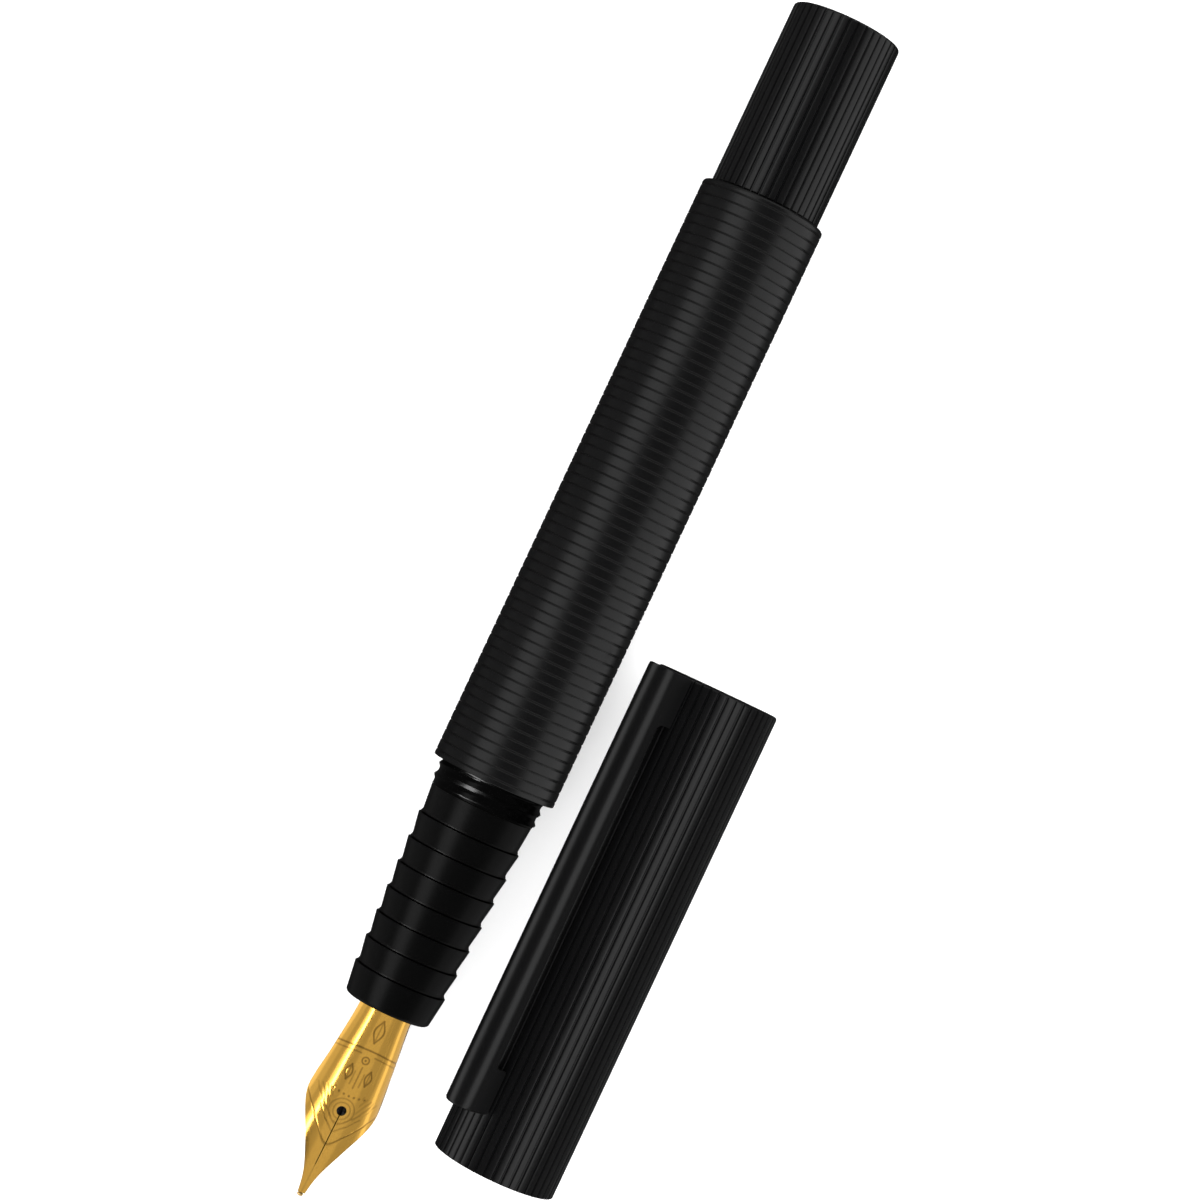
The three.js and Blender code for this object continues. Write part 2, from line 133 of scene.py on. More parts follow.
def spin(outline, segments=112, radius_at=None):
    """Rings about the X axis for [station, radius] points. radius_at may change a radius by angle."""
    rings = []
    for station, radius in outline:
        ring = []
        for i in range(segments):
            angle = 2 * math.pi * i / segments
            r = radius_at(station, radius, angle) if radius_at else radius
            ring.append((station, r * math.sin(angle), r * math.cos(angle)))
        rings.append(ring)
    return rings


def turned(name, outline, place, material, segments=112, radius_at=None, sharp=30.0):
    """A turned piece whose closed [station, radius] outline goes outside first and back inside."""
    return finish_mesh(name, loft(spin(outline, segments, radius_at)), place, material, sharp)


def arc(centre_x, centre_r, radius, start, end, steps=4):
    """Points of an arc in the station and radius plane, by angles in degrees from +X towards +R."""
    points = []
    for i in range(steps + 1):
        angle = math.radians(start + (end - start) * i / steps)
        points.append((centre_x + radius * math.cos(angle), centre_r + radius * math.sin(angle)))
    return points


def combine(piece, tool, operation="DIFFERENCE", sharp=35.0):
    """Cuts the tool out of the piece, or joins it on with UNION, and deletes the tool."""
    modifier = piece.modifiers.new("combine", "BOOLEAN")
    modifier.operation = operation
    modifier.solver = "EXACT"
    modifier.object = tool
    graph = bpy.context.evaluated_depsgraph_get()
    mesh = bpy.data.meshes.new_from_object(piece.evaluated_get(graph))
    mesh.set_sharp_from_angle(angle=math.radians(sharp))
    piece.modifiers.clear()
    piece.data = mesh
    bpy.data.objects.remove(tool)


def block(low, high, place):
    """A box from its lowest and highest corners, as a tool for combine."""
    bm = bmesh.new()
    bmesh.ops.create_cube(bm, size=1)
    size = Vector(high) - Vector(low)
    middle = (Vector(high) + Vector(low)) / 2
    shape = Matrix.Translation(middle) @ Matrix.Diagonal((*size, 1))
    bmesh.ops.transform(bm, verts=bm.verts, matrix=shape)
    return finish_mesh("tool", bm, place, None)


def rod(low, high, radius, place, segments=48):
    """A cylinder from one point to another, as a tool for combine."""
    axis = Vector(high) - Vector(low)
    bm = bmesh.new()
    bmesh.ops.create_cone(
        bm, cap_ends=True, segments=segments, radius1=radius, radius2=radius, depth=axis.length,
    )
    turn = axis.to_track_quat("Z", "Y").to_matrix().to_4x4()
    middle = (Vector(high) + Vector(low)) / 2
    bmesh.ops.transform(bm, verts=bm.verts, matrix=Matrix.Translation(middle) @ turn)
    return finish_mesh("tool", bm, place, None)


def place_piece(piece, body, node):
    """Makes the piece ride on its body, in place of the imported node."""
    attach(piece, body)
    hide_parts(node)
    return piece


# Materials

DRIFT_SCALE = 120
GRAIN_STRENGTH = 0.25


def new_material(name):
    """A material with its node tree and its shader."""
    material = bpy.data.materials.new(name)
    material.use_nodes = True
    tree = material.node_tree
    return material, tree, tree.nodes["Principled BSDF"]


def noise(tree, scale, detail, stretch=(1, 1, 1)):
    """Noise on object coordinates, which are metres, stretched along the axes."""
    coords = tree.nodes.new("ShaderNodeTexCoord")
    mapping = tree.nodes.new("ShaderNodeMapping")
    mapping.inputs["Scale"].default_value = stretch
    texture = tree.nodes.new("ShaderNodeTexNoise")
    texture.inputs["Scale"].default_value = scale
    texture.inputs["Detail"].default_value = detail
    tree.links.new(coords.outputs["Object"], mapping.inputs["Vector"])
    tree.links.new(mapping.outputs["Vector"], texture.inputs["Vector"])
    return texture.outputs["Fac"]


def ranged(tree, value, low, high):
    """The value, from 0 to 1, spread between low and high."""
    node = tree.nodes.new("ShaderNodeMapRange")
    node.inputs["To Min"].default_value = low
    node.inputs["To Max"].default_value = high
    tree.links.new(value, node.inputs["Value"])
    return node.outputs["Result"]


def mixed(tree, factor, dark, light):
    """A colour between dark and light."""
    node = tree.nodes.new("ShaderNodeMix")
    node.data_type = "RGBA"
    node.inputs["A"].default_value = (*dark, 1)
    node.inputs["B"].default_value = (*light, 1)
    tree.links.new(factor, node.inputs["Factor"])
    return node.outputs["Result"]


def bump(tree, shader, height, strength, distance):
    """Lets the height, 0 to 1 over the distance in metres, tilt the shader's surface."""
    node = tree.nodes.new("ShaderNodeBump")
    node.inputs["Strength"].default_value = strength
    node.inputs["Distance"].default_value = distance
    tree.links.new(height, node.inputs["Height"])
    tree.links.new(node.outputs["Normal"], shader.inputs["Normal"])


def satin(name, dark, light, rough, grain, metallic=0.0, stretch=(1, 1, 1), depth=0.000004):
    """A satin coat: fine grain in the roughness and surface, slow drift in the colour."""
    material, tree, shader = new_material(name)
    shader.inputs["Metallic"].default_value = metallic
    fine = noise(tree, grain, 5, stretch)
    slow = noise(tree, DRIFT_SCALE, 3)
    tree.links.new(mixed(tree, slow, dark, light), shader.inputs["Base Color"])
    tree.links.new(ranged(tree, fine, *rough), shader.inputs["Roughness"])
    bump(tree, shader, fine, GRAIN_STRENGTH, depth)
    return material


def grey(value):
    return (value, value, value)


BLACK_METAL = satin(
    "black_metal", (0.0013, 0.0013, 0.0014), (0.0022, 0.0022, 0.0023), rough=(0.26, 0.38), grain=9000,
)
GRIP_METAL = satin(
    "grip_metal", grey(0.0006), grey(0.0012), rough=(0.24, 0.38), grain=3200, depth=0.000012,
)
GLOSS_PLASTIC = satin("gloss_black_plastic", grey(0.0003), grey(0.0006), rough=(0.18, 0.28), grain=2500)
MATT_PLASTIC = satin("matt_black_plastic", grey(0.008), grey(0.014), rough=(0.45, 0.6), grain=5000)
RUBBER = satin("black_rubber", grey(0.008), grey(0.013), rough=(0.6, 0.75), grain=4000)
SILICONE = satin("silicone", (0.55, 0.53, 0.46), (0.66, 0.64, 0.56), rough=(0.35, 0.5), grain=3000)
STEEL = satin(
    "steel", (0.5, 0.5, 0.51), (0.6, 0.6, 0.61), rough=(0.2, 0.34), grain=8000,
    metallic=1.0, stretch=(1, 6, 6),
)
TIP_ALLOY = satin(
    "tip_alloy", (0.8, 0.53, 0.2), (0.9, 0.62, 0.26), rough=(0.3, 0.42), grain=8000, metallic=1.0,
)


def clear_plastic():
    material = satin("clear_plastic", (0.85, 0.88, 0.9), (0.92, 0.94, 0.95), (0.03, 0.08), 2000)
    shader = material.node_tree.nodes["Principled BSDF"]
    shader.inputs["Transmission Weight"].default_value = 1.0
    shader.inputs["IOR"].default_value = 1.49
    return material


def gold():
    """Polished gold plate. The engraved lines, marked on the mesh, are painted darker: painted shade
    that stands in for the shade in their cuts.
    """
    material, tree, shader = new_material("nib_gold")
    shader.inputs["Metallic"].default_value = 1.0
    slow = noise(tree, 150, 3)
    plate = mixed(tree, slow, (0.84, 0.46, 0.08), (0.89, 0.51, 0.1))
    # Painted shade: the mark of the engraved lines darkens the gold's colour there, standing in for the
    # shade in their cuts.
    mark = tree.nodes.new("ShaderNodeAttribute")
    mark.attribute_name = "engraving_and_shade"
    blend = tree.nodes.new("ShaderNodeMix")
    blend.data_type = "RGBA"
    blend.inputs["B"].default_value = (0.36, 0.19, 0.035, 1)
    tree.links.new(mark.outputs["Fac"], blend.inputs["Factor"])
    tree.links.new(plate, blend.inputs["A"])
    tree.links.new(blend.outputs["Result"], shader.inputs["Base Color"])
    fine = noise(tree, 7000, 4, (1, 8, 8))
    tree.links.new(ranged(tree, fine, 0.1, 0.2), shader.inputs["Roughness"])
    bump(tree, shader, fine, 0.15, 0.000003)
    return material


GOLD = gold()
CLEAR_PLASTIC = clear_plastic()


# Barrel

BARREL_RADIUS = (barrel_high.z - barrel_low.z) / 2 / MM
BARREL_BORE = 5.0
GROOVES = 60
GROOVE_WIDTH = 0.25
GROOVE_DEPTH = 0.085


def groove(middle, radius):
    """A fine V groove across the outline, from the nib side to the tail side."""
    half = GROOVE_WIDTH / 2
    return [(middle - half, radius), (middle, radius - GROOVE_DEPTH), (middle + half, radius)]


def make_barrel():
    edge, shoulder = 0.06, 0.4
    lead, plain_end = 0.55, 0.2
    pitch = (BARREL_END - BARREL_START) / (GROOVES + plain_end)
    outline = [(BARREL_START, BARREL_RADIUS - edge), (BARREL_START + edge, BARREL_RADIUS)]
    for i in range(GROOVES):
        outline += groove(BARREL_START + (i + lead) * pitch, BARREL_RADIUS)
    outline += arc(BARREL_END - shoulder, BARREL_RADIUS - shoulder, shoulder, 90, 0, 5)
    outline += [(BARREL_END, BARREL_BORE), (BARREL_START, BARREL_BORE)]
    barrel = turned("grooved_barrel", outline, PEN_PLACE, BLACK_METAL)
    return place_piece(barrel, "pen", "barrel")


# Fluted pieces

FLUTE_WIDTH = 0.26
FLUTE_DEPTH = 0.18
# Half of a flute's section, from its middle out: how far across, in half widths, and how deep.
FLUTE_SECTION = [(0.3, 1), (0.7, 0.55), (1.05, 0.08), (1.5, 0)]


def flute_angles(count, radius):
    """Angles round a fluted bar, close together at each flute, and how deep each one lies."""
    half = FLUTE_WIDTH / 2 / radius
    pitch = 2 * math.pi / count
    steps = [(-across, deep) for across, deep in reversed(FLUTE_SECTION)] + FLUTE_SECTION
    lip = FLUTE_SECTION[-1][0] * half
    land = (pitch - 2 * lip) / 3
    angles = []
    for i in range(count):
        middle = i * pitch
        angles += [(middle + step * half, deep) for step, deep in steps]
        angles += [(middle + lip + land, 0), (middle + lip + 2 * land, 0)]
    return angles


def fluted(name, outline, count, radius, material, place):
    """A turned piece with rounded flutes wherever its outline lies outside their floor."""
    angles = flute_angles(count, radius)
    rings = []
    for station, r in outline:
        ring = []
        for angle, deep in angles:
            reach = min(r, radius - FLUTE_DEPTH * deep)
            ring.append((station, reach * math.sin(angle), reach * math.cos(angle)))
        rings.append(ring)
    return finish_mesh(name, loft(rings), place, material, sharp=40)


def end_ring(end, outer, inner, depth, bevel):
    """A shallow ring turned into a flat end, from its outer edge to its inner one."""
    return [(end, outer), (end - depth, outer - bevel), (end - depth, inner + bevel), (end, inner)]


def make_knob():
    radius = (knob_high.y - knob_low.y) / 2 / MM
    flutes = 40
    edge, rim = 0.35, 0.12
    bore, socket = 4.0, 2.2
    bore_end = KNOB_START + 12.7
    socket_end = bore_end + 5.2
    outline = arc(KNOB_START + rim, radius - rim, rim, 180, 90, 3)
    outline += [(KNOB_START + along, radius) for along in (7, 14)]
    outline += arc(KNOB_END - edge, radius - edge, edge, 90, 0, 5)
    outline += end_ring(KNOB_END, radius - 0.75, 3.5, depth=0.1, bevel=0.1)
    outline += [(KNOB_END, 1.8), (KNOB_END, PINHOLE), (socket_end, PINHOLE), (socket_end, socket)]
    outline += [(bore_end, socket), (bore_end, bore), (KNOB_START, bore)]
    knob = fluted("fluted_knob", outline, flutes, radius, BLACK_METAL, PEN_PLACE)
    return place_piece(knob, "knob", "turning_knob")


CAP_RADIUS = (cap_high.z - cap_low.z) / 2 / MM
CAP_BORE = 6.0
PIVOT_STATION = 50.1
PIVOT_RADIUS = 5.0
PIN_RADIUS = 0.5
TANG_HALF = 1.1
TANG_TOP = 8.0


def tang_block(front, back, side, floor):
    """A block round the clip's tang: room before and behind the pivot and beside the tang."""
    half = TANG_HALF + side
    low = (PIVOT_STATION - front, -half, floor)
    return block(low, (PIVOT_STATION + back, half, TANG_TOP), CAP_PLACE)


def pin_hole():
    """The clip pin's hole, across the whole cap."""
    ends = [(PIVOT_STATION, side * CAP_RADIUS * 1.1, PIVOT_RADIUS) for side in (-1, 1)]
    return rod(*ends, PIN_RADIUS, CAP_PLACE, 24)


def make_cap_shell():
    flutes = 44
    rim, edge = 0.1, 0.35
    outline = arc(rim, CAP_RADIUS - rim, rim, 180, 90, 3)
    outline += [(CAP_LENGTH * part, CAP_RADIUS) for part in (0.2, 0.4, 0.6, 0.8)]
    outline += arc(CAP_LENGTH - edge, CAP_RADIUS - edge, edge, 90, 0, 5)
    outline += [(CAP_LENGTH, CAP_BORE), (0, CAP_BORE)]
    shell = fluted("fluted_cap", outline, flutes, CAP_RADIUS, BLACK_METAL, CAP_PLACE)
    combine(shell, tang_block(front=1.2, back=2.1, side=0.4, floor=4))
    return place_piece(shell, "cap", "cap_shell")


# Grip section

def make_grip():
    bore = 4.05
    tiers, tier_length, top_length = 7, 2.69, 3.0
    wide, step, taper, top = 4.94, 0.095, 0.375, 5.47
    mouth_round, rim = 0.42, 0.05
    gap, gap_depth, fillet, steepest = 0.16, 0.3, 0.45, 42
    outline = arc(GRIP_START + mouth_round, wide - taper - mouth_round, mouth_round, 180, 90, 6)
    first_step = GRIP_END - top_length - (tiers - 1) * tier_length
    for i in range(tiers):
        station = first_step + i * tier_length
        high = wide + i * step
        low = wide + (i + 1) * step - taper
        outline += arc(station - rim, high - rim, rim, 90, 0, 3)
        outline += [(station, low), (station + gap / 2, low - gap_depth), (station + gap, low)]
        fillet_end = station + gap + fillet * math.sin(math.radians(steepest))
        outline += arc(fillet_end, low + fillet, fillet, 270 - steepest, 270, 5)
    outline.append((GRIP_END, top))
    outline += [(GRIP_END, bore), (GRIP_START, bore)]
    grip = turned("stepped_grip", outline, PEN_PLACE, GRIP_METAL)
    return place_piece(grip, "pen", "grip_sleeve")


# Threads

THREAD_PITCH = 1.2
THREAD_FLANK = 0.34
THREAD_RUN_OUT = 0.3


def thread_height(station, angle, crest_station, start, end):
    """0 to 1 over a right-handed thread that fades in and out. One crest is on top at crest_station."""
    turns = (station - crest_station) / THREAD_PITCH + angle / (2 * math.pi)
    from_crest = abs((turns + 0.5) % 1.0 - 0.5)
    crest = max(0.0, 1 - from_crest / THREAD_FLANK)
    to_end = max(0.0, min(station - start, end - station))
    return crest * min(1.0, to_end / THREAD_RUN_OUT)


def make_inner_section():
    front, sleeve, tenon, collar_bore, bore = 21.2, 3.95, 4.9, 3.45, 2.7
    root, depth, edge = 5.47, 0.27, 0.01
    start, end = GRIP_END + 0.01, BARREL_START - 0.02
    tenon_end = BARREL_START + 6.4
    collar_end = 33.0
    crest_station = BARREL_START - 1.5
    steps = 40
    outline = [(front, sleeve), (start, sleeve), (start, root - edge)]
    outline += [(start + (end - start) * i / steps, root) for i in range(1, steps)]
    outline += [(end, root - edge), (end, tenon), (tenon_end, tenon), (tenon_end, bore)]
    outline += [(collar_end, bore), (collar_end, collar_bore), (front, collar_bore)]

    def radius_at(station, radius, angle):
        if radius != root:
            return radius
        return radius + depth * thread_height(station, angle, crest_station, start, end)

    section = turned("threaded_inner_section", outline, PEN_PLACE, GLOSS_PLASTIC, 144, radius_at)
    return place_piece(section, "pen", "inner_section")


def make_cap_insert():
    start, end, outer, root, depth = 0.6, 6.0, 5.9, 5.8, 0.24
    thread_start, thread_end, crest_station = start + 0.4, start + 4.2, start + 1.5
    steps = 60
    outline = [(start, outer), (end, outer)]
    outline += [(end + (start - end) * i / steps, root) for i in range(steps + 1)]

    def radius_at(station, radius, angle):
        if radius != root:
            return radius
        return radius - depth * thread_height(station, angle, crest_station, thread_start, thread_end)

    insert = turned("cap_inner_thread", outline, CAP_PLACE, GLOSS_PLASTIC, 128, radius_at)
    return place_piece(insert, "cap", "cap_thread_insert")


def make_cap_head():
    start, end, radius, edge = 48.2, CAP_LENGTH - 0.05, 5.9, 0.12
    outline = [(start, radius), (end - edge, radius), (end, radius - edge)]
    outline += end_ring(end, 4.7, 4.42, depth=0.08, bevel=0.08)
    outline += [(end, 2.2), (end, PINHOLE), (start, PINHOLE)]
    head = turned("cap_head_disc", outline, CAP_PLACE, BLACK_METAL)
    spring, spring_low, spring_high, spring_room = PIVOT_STATION + 1.15, 2.2, 4.0, 1.2
    combine(head, tang_block(front=1.1, back=2.1, side=0.3, floor=3.6))
    combine(head, rod((spring, 0, spring_low), (spring, 0, spring_high), spring_room, CAP_PLACE, 32))
    combine(head, pin_hole())
    return place_piece(head, "cap", "cap_head")


# Clip

CLIP_WIDTH = 3.5
CLIP_TOP = 10.635
CLIP_FOOT = 5.5
CLIP_ARM = 2.35
CLIP_PAD = 4.8
CLIP_HEAD = 5.4

# Between clip and cap at rest. The head needs more, because its back end dips when the foot lifts.
FOOT_GAP = 0.12
HEAD_GAP = 0.27


def clip_section(bottom, half=CLIP_WIDTH / 2, steps=18):
    """The clip's cross-section as (y, z) points: a round outer face, straight sides, flat underside."""
    points = []
    for i in range(steps + 1):
        angle = math.pi * i / steps
        points.append((half * math.cos(angle), CLIP_TOP - half + half * math.sin(angle)))
    edge = 0.12
    points += [(-half, bottom + edge), (-half + edge, bottom)]
    points += [(half - edge, bottom), (half, bottom + edge)]
    return points


def clip_underside(end):
    """The clip's underside as (station, height, shrink): foot pad, slot under the arm, head block.

    The section shrinks by a little at both ends, which rounds their edges.
    """
    arm = CLIP_TOP - CLIP_ARM
    pad_low, head_low = 6.65, 6.3
    pad_end, head_start = CLIP_FOOT + CLIP_PAD, CAP_LENGTH - CLIP_HEAD
    outer, inner, step = 0.5, 0.75, 0.001
    points = [(CLIP_FOOT, pad_low + 0.3, 0.3), (CLIP_FOOT + 0.1, pad_low + 0.1, 0.1)]
    points += [(CLIP_FOOT + 0.3, pad_low, 0), (pad_end - 0.3, pad_low, 0)]
    points += [(pad_end - 0.05, pad_low + 0.15, 0), (pad_end, pad_low + 0.5, 0)]
    for i in range(5):
        angle = math.pi / 2 * i / 4
        station = pad_end + outer * (1 - math.cos(angle)) + step
        points.append((station, arm - outer + outer * math.sin(angle), 0))
    for i in range(7):
        angle = math.pi / 2 * i / 6
        station = head_start - inner + inner * math.sin(angle)
        points.append((station, arm - inner + inner * math.cos(angle), 0))
    points += [(head_start + step, head_low, 0), (end - 0.2, head_low, 0)]
    points += [(end - 0.05, head_low, 0.06), (end, head_low, 0.2)]
    return points


def make_clip():
    """A bar lofted along the cap, cut to the cap's curve, with the tang that its pin goes through."""
    end = CAP_LENGTH - 0.1
    rings = []
    for station, bottom, shrink in clip_underside(end):
        middle = (CLIP_TOP + bottom) / 2
        wide = 1 - shrink / (CLIP_WIDTH / 2)
        tall = 1 - shrink / (CLIP_TOP - bottom) * 2
        section = clip_section(bottom)
        rings.append([(station, y * wide, middle + (z - middle) * tall) for y, z in section])
    clip = finish_mesh("bar_clip", loft(rings, closed=False), CAP_PLACE, BLACK_METAL, sharp=35)
    slot = CLIP_FOOT + CLIP_PAD + 1
    for start, gap in ((-1, FOOT_GAP), (slot, HEAD_GAP)):
        combine(clip, rod((start, 0, 0), (CAP_LENGTH + 1, 0, 0), CAP_RADIUS + gap, CAP_PLACE, 160))
    combine(clip, tang_block(front=0.8, back=1.8, side=0, floor=4), "UNION")
    combine(clip, pin_hole())
    return place_piece(clip, "clip", "clip")


# Nib

NIB_FRONT = 0.44
NIB_BACK = GRIP_START + 6.4
NIB_SHEET = 0.35
ENGRAVING_DEPTH = 0.02
SHOULDER = 10.6
BREATHER = 9.75
BREATHER_RADIUS = 0.5


def smooth_curve(points):
    """A Catmull-Rom curve through (x, y) points, as a function of x."""
    def value(x):
        i = 0
        while i < len(points) - 2 and points[i + 1][0] < x:
            i += 1
        (x1, y1), (x2, y2) = points[i], points[i + 1]
        x0, y0 = points[i - 1] if i > 0 else (2 * x1 - x2, 2 * y1 - y2)
        x3, y3 = points[i + 2] if i < len(points) - 2 else (2 * x2 - x1, 2 * y2 - y1)
        t = (x - x1) / (x2 - x1)
        m1 = (y2 - y0) / (x2 - x0) * (x2 - x1)
        m2 = (y3 - y1) / (x3 - x1) * (x2 - x1)
        return (
            (2 * t ** 3 - 3 * t ** 2 + 1) * y1 + (t ** 3 - 2 * t ** 2 + t) * m1
            + (3 * t ** 2 - 2 * t ** 3) * y2 + (t ** 3 - t ** 2) * m2
        )
    return value


# By station: half the nib's width, the radius it is bent to, and the height of its middle line.
nib_half_width = smooth_curve([
    (-0.1, 0.3), (2.6, 0.8), (5.8, 2.07), (9, 3.52),
    (SHOULDER, 3.82), (15, 3.34), (20.6, 2.8), (28, 2.75),
])
nib_bend = smooth_curve([
    (-0.1, 2.6), (2.6, 3.8), (5.8, 4.8), (SHOULDER, 4.1), (15, 3.6), (20.6, 2.87), (28, 2.87),
])
nib_crown = smooth_curve([(-0.1, 0.5), (5.8, 1.5), (SHOULDER, 2.15), (20.6, 2.87), (28, 2.87)])


def line_mark(distance, width=0.085):
    """1 on a line, fading to 0 over its edges."""
    return max(0.0, min(1.0, 1.5 - abs(distance) / width))


def stroke(x, y, start, end, width=0.075):
    """The mark of a straight line from start to end."""
    along_x, along_y = end[0] - start[0], end[1] - start[1]
    part = ((x - start[0]) * along_x + (y - start[1]) * along_y) / (along_x ** 2 + along_y ** 2)
    part = min(1.0, max(0.0, part))
    return line_mark(math.hypot(x - start[0] - part * along_x, y - start[1] - part * along_y), width)


def leaf(x, y, base, length, half):
    """The outline and vein of a pointed leaf along the nib."""
    part = (x - base) / length
    if not 0 <= part <= 1:
        return 0.0
    return max(line_mark(abs(y) - half * math.sin(math.pi * part) ** 1.5), 0.7 * line_mark(y, 0.06))


def garland(y, start, rise, flat=0.5):
    """A station on a hanging curve: lowest in the middle, straight towards both wings."""
    return start + rise * (math.hypot(y, flat) - flat)


def centre_motifs(x, y):
    """A leaf and a ringed dot along the middle of the nib, and a leaf on each side of a stem."""
    side = abs(y)
    marks = [leaf(x, y, 17.2, 2.6, 0.5), leaf(x, side - 1.05, 12.8, 1.8, 0.32)]
    from_rosette = math.hypot(x - 15.35, y)
    marks += [line_mark(from_rosette - 0.36, 0.07), line_mark(from_rosette, 0.12)]
    marks.append(0.8 * stroke(x, side, (12.3, 0), (14.6, 0)))
    marks.append(0.6 * stroke(x, side, (12.6, 0.5), (14.0, 0.5)))
    return marks


def engraving_and_shade(x, y):
    """How strongly the ornament is cut at a place on the nib."""
    side = abs(y)
    half = nib_half_width(x)
    band = 16.45 - 0.042 * y * y
    marks = centre_motifs(x, y)
    marks.append(line_mark(x - band))
    if side > 0.7:
        marks.append(0.7 * line_mark(x - band + 0.5, 0.07))
    from_hole = math.hypot(x - BREATHER, y)
    if from_hole > BREATHER_RADIUS + 0.1:
        marks += [0.6 * line_mark(from_hole - radius, 0.07) for radius in (0.88, 1.3)]
    if side < 1.95:
        dot = math.hypot(x - 11.42 - 0.06 * y * y, (y + 0.28) % 0.56 - 0.28)
        marks.append(line_mark(dot, 0.11))
    if side < half - 0.1:
        marks.append(0.8 * line_mark(x - garland(y, 6.0, 1.28), 0.12))
    if side < 2.2:
        marks.append(0.6 * line_mark(x - garland(y, 7.45, 1.15) - 0.15 * abs(math.sin(2.6 * y)), 0.1))
    if side < 2.0:
        marks.append(0.6 * line_mark(x - garland(y, 8.3, 1.1), 0.1))
    if 1.4 < side < half - 0.3 and garland(y, 7.9, 1.15) < x < 12.4 - 0.3 * side:
        marks.append(0.35 * line_mark((x - 1.7 * side) % 0.8 - 0.4, 0.17))
    return max(marks)


def nib_surface(side):
    """Rows of (point, mark) over a side of the sheet: 0 is the engraved outside, 1 the inside.

    The inside is half as fine.
    """
    stations, across = ((440, 160), (220, 80))[side]
    steepest = 0.985
    rows = []
    for i in range(stations + 1):
        x = NIB_FRONT + (NIB_BACK - NIB_FRONT) * i / stations
        bend = nib_bend(x)
        low = nib_crown(x) - bend
        reach = math.asin(min(steepest, nib_half_width(x) / bend))
        row = []
        for j in range(across + 1):
            angle = (2 * j / across - 1) * reach
            mark = 0.0 if side else engraving_and_shade(x, bend * math.sin(angle))
            radius = bend - NIB_SHEET * side - ENGRAVING_DEPTH * mark
            row.append(((x, radius * math.sin(angle), low + radius * math.cos(angle)), mark))
        rows.append(row)
    return rows


def slit_tool():
    """A wedge for the slit: a hairline between the tines, then wider up to the breather hole."""
    rings = []
    for x, half in ((-1, 0.014), (3.6, 0.016), (3.8, 0.045), (BREATHER, 0.055)):
        rings.append([(x, -half, -2), (x, half, -2), (x, half, 4), (x, -half, 4)])
    return finish_mesh("tool", loft(rings, closed=False), NIB_PLACE, None)


def make_nib():
    """A bent sheet: engraved outside, plain inside and rims, with its hole and slit cut through."""
    bm = bmesh.new()
    # The marks of the engraved lines are kept on the vertices, where the gold paints shade into them.
    layer = bm.verts.layers.float.new("engraving_and_shade")
    sheets = []
    for side in (0, 1):
        sheet = []
        for row in nib_surface(side):
            verts = [bm.verts.new(point) for point, mark in row]
            for vert, (point, mark) in zip(verts, row):
                vert[layer] = mark
            sheet.append(verts)
        sheets.append(sheet)
    for sheet in sheets:
        for a, b in zip(sheet, sheet[1:]):
            for j in range(len(a) - 1):
                bm.faces.new((a[j], a[j + 1], b[j + 1], b[j]))
    top, under = sheets
    rims = [(top[k], under[k]) for k in (0, -1)]
    rims += [([row[k] for row in top], [row[k] for row in under]) for k in (0, -1)]
    for fine, coarse in rims:
        for j in range(len(coarse) - 1):
            bm.faces.new((*fine[2 * j:2 * j + 3], coarse[j + 1], coarse[j]))
    nib = finish_mesh("engraved_nib", bm, NIB_PLACE, GOLD, sharp=40)
    combine(nib, rod((BREATHER, 0, 0), (BREATHER, 0, 5), BREATHER_RADIUS, NIB_PLACE))
    combine(nib, slit_tool())
    nib.visible_glossy = False
    return place_piece(nib, "pen", "nib")


# Floor, light and camera

FLOOR_HALF = 1.5


def make_floor():
    """A pale, almost even floor, left out of the pieces' reflections."""
    bm = bmesh.new()
    bmesh.ops.create_grid(bm, x_segments=1, y_segments=1, size=FLOOR_HALF)
    material, tree, shader = new_material("pale_floor")
    shade = mixed(tree, noise(tree, 3, 2), (0.9, 0.9, 0.9), (0.92, 0.92, 0.92))
    tree.links.new(shade, shader.inputs["Base Color"])
    shader.inputs["Roughness"].default_value = 0.9
    shader.inputs["Specular IOR Level"].default_value = 0.0
    floor = finish_mesh("floor", bm, Matrix.Identity(4), material)
    floor.visible_glossy = False
    return floor


def lit_group(name, pieces):
    """A group of pieces that has lamps of its own, as when each part is photographed by itself."""
    group = bpy.data.collections.new(name)
    for piece in pieces:
        group.objects.link(piece)
    return group


def soft_box(name, across, along, radiance, group=None, distance=0.6, glossy=True):
    """A lamp between angles from overhead: across, positive to the cap's side, and along the pen.

    Its power makes the whole lamp as bright as the radiance says, whatever its size.
    """
    turn = Matrix.Rotation(math.radians(sum(across) / 2), 4, "X")
    turn = turn @ Matrix.Rotation(math.radians(sum(along) / 2), 4, "Y")
    data = bpy.data.lights.new(name, "AREA")
    data.shape = "RECTANGLE"
    data.size = 2 * distance * math.tan(math.radians(along[1] - along[0]) / 2)
    data.size_y = 2 * distance * math.tan(math.radians(across[1] - across[0]) / 2)
    data.energy = radiance * math.pi * data.size * data.size_y
    lamp = bpy.data.objects.new(name, data)
    middle = PEN_AXIS + Vector((CAMERA_STATION * MM, 0, 0))
    lamp.matrix_world = Matrix.Translation(middle) @ turn @ Matrix.Translation((0, 0, distance))
    lamp.visible_glossy = glossy
    lamp.visible_camera = False
    bpy.context.scene.collection.objects.link(lamp)
    if group:
        lamp.light_linking.receiver_collection = group
        lamp.light_linking.blocker_collection = group


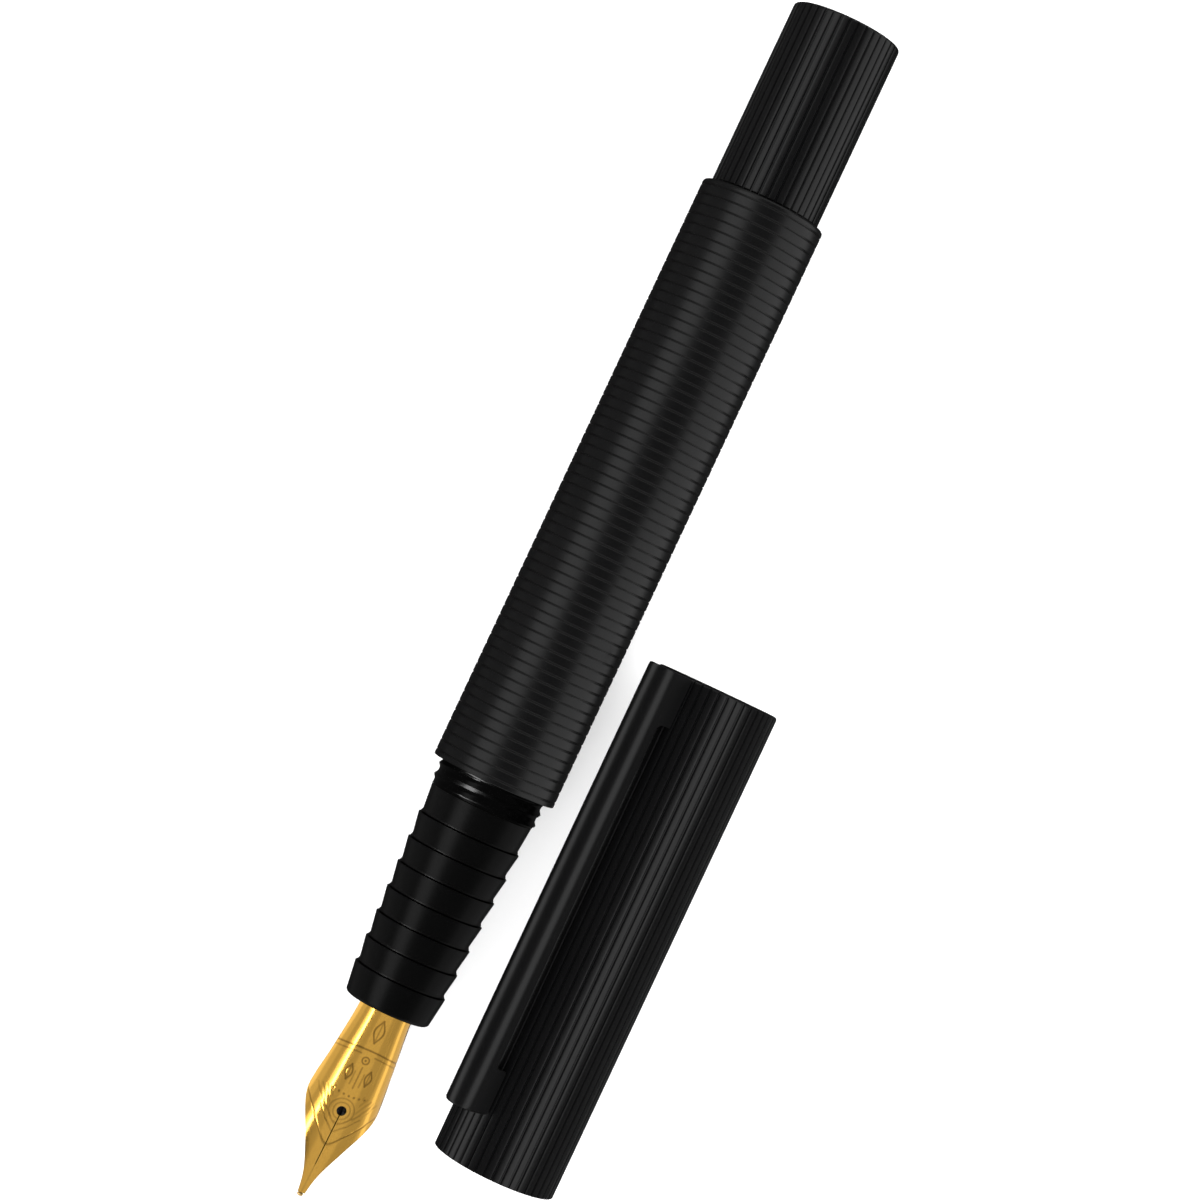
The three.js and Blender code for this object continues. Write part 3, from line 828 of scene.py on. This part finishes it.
def make_world():
    """Pale behind the floor's edge, and nearly dark in reflections."""
    world = bpy.data.worlds.new("studio")
    bpy.context.scene.world = world
    world.use_nodes = True
    tree = world.node_tree
    path = tree.nodes.new("ShaderNodeLightPath")
    strength = tree.nodes.new("ShaderNodeMapRange")
    strength.inputs["To Min"].default_value = 0.035
    strength.inputs["To Max"].default_value = 0.9
    tree.links.new(path.outputs["Is Camera Ray"], strength.inputs["Value"])
    tree.links.new(strength.outputs["Result"], tree.nodes["Background"].inputs["Strength"])
    tree.nodes["Background"].inputs["Color"].default_value = (1, 1, 1, 1)


LONG = (-63, 63)
MEDIUM = (-50, 50)
SHORT = (-42, 42)

# Each lamp: angles across, angles along, radiance.
LAMPS = {
    "pen": [
        ((-120, -56), LONG, 0.1),
        ((-54, -15), MEDIUM, 0.9),
        ((46, 118), MEDIUM, 0.74),
        ((-15, 46), (56, 100), 0.45),
        ((-15, 46), (-100, -56), 0.45),
    ],
    "grip": [
        ((-130, -70), LONG, 0.08),
        ((-50, -20), LONG, 0.46),
        ((70, 135), LONG, 0.15),
        ((-60, -54), (44, 72), 4.5),
        ((-50, 50), (-108, -84), 0.2),
    ],
    "neck": [
        ((-46, -26), LONG, 0.3),
        ((-66, -48), (40, 76), 6.0),
    ],
    "cap": [
        ((-100, -62), LONG, 1.0),
        ((15, 56), LONG, 1.0),
        ((80, 130), LONG, 0.1),
        ((-15, 46), (66, 102), 0.3),
        ((-15, 46), (-102, -66), 0.3),
    ],
    "nib": [
        ((-150, -104), SHORT, 1.1),
        ((-104, -80), SHORT, 0.66),
        ((-80, -60), SHORT, 0.48),
        ((-60, -49), SHORT, 1.6),
        ((-49, -41), SHORT, 8.5),
        ((-36, 84), SHORT, 0.42),
        ((-10, 44), SHORT, 0.17),
        ((84, 94), SHORT, 0.6),
        ((94, 108), SHORT, 1.25),
        ((108, 150), SHORT, 0.7),
        ((-34, 74), (-75, -50), 1.8),
        ((-50, 50), (-108, -78), 0.8),
        ((-50, 50), (52, 108), 0.5),
    ],
    "floor": [((-45, 45), (-45, 45), 1.0)],
}


def make_lights(groups):
    """One fill for everything, left out of reflections, and each group's own lamps."""
    make_world()
    soft_box("overhead_fill", (-45, 45), LONG, 2.6, distance=1.2, glossy=False)
    for name, lamps in LAMPS.items():
        group = lit_group(name + "_lit", groups[name])
        for i, (across, along, radiance) in enumerate(lamps):
            soft_box(name + "_lamp_" + str(i + 1), across, along, radiance, group)


VIEW_WIDTH = 0.120
CAMERA_HEIGHT = 0.34
CAMERA_STATION = 66.65
CAMERA_SIDE = -1.96
SENSOR_WIDTH = 36
PEN_HEADING = math.radians(64.85)


def make_camera():
    """A camera straight overhead, turned so that the pen leans as it should."""
    data = bpy.data.cameras.new("camera")
    data.sensor_width = SENSOR_WIDTH
    data.lens = SENSOR_WIDTH * CAMERA_HEIGHT / VIEW_WIDTH
    camera = bpy.data.objects.new("camera", data)
    camera.location = PEN_AXIS + Vector((CAMERA_STATION * MM, CAMERA_SIDE * MM, CAMERA_HEIGHT))
    camera.rotation_euler = (0, 0, -PEN_HEADING)
    bpy.context.scene.collection.objects.link(camera)
    bpy.context.scene.camera = camera


def repaint_carried_over():
    """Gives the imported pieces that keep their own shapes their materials."""
    looks = {
        MATT_PLASTIC: ["feed", "nib_collar", "piston_rod", "spindle", "piston_guide", "inner_cap"],
        RUBBER: ["section_o_ring", "knob_o_ring"],
        SILICONE: ["piston_seal"],
        CLEAR_PLASTIC: ["ink_chamber"],
        STEEL: ["clip_pin", "clip_spring"],
        TIP_ALLOY: ["nib_tipping"],
    }
    for material, names in looks.items():
        for name in names:
            piece = frame["nodes"][name]
            piece.data.materials.clear()
            piece.data.materials.append(material)


make_camera()
repaint_carried_over()
nodes = frame["nodes"]
make_lights({
    "floor": [make_floor()],
    "pen": [make_barrel(), make_knob()],
    "grip": [make_grip(), nodes["nib_collar"]],
    "neck": [make_inner_section()],
    "nib": [make_nib(), nodes["nib_tipping"], nodes["feed"]],
    "cap": [
        make_cap_shell(), make_cap_insert(), make_cap_head(), make_clip(),
        nodes["inner_cap"], nodes["clip_pin"],
    ],
})
bpy.context.scene.view_settings.view_transform = "Standard"
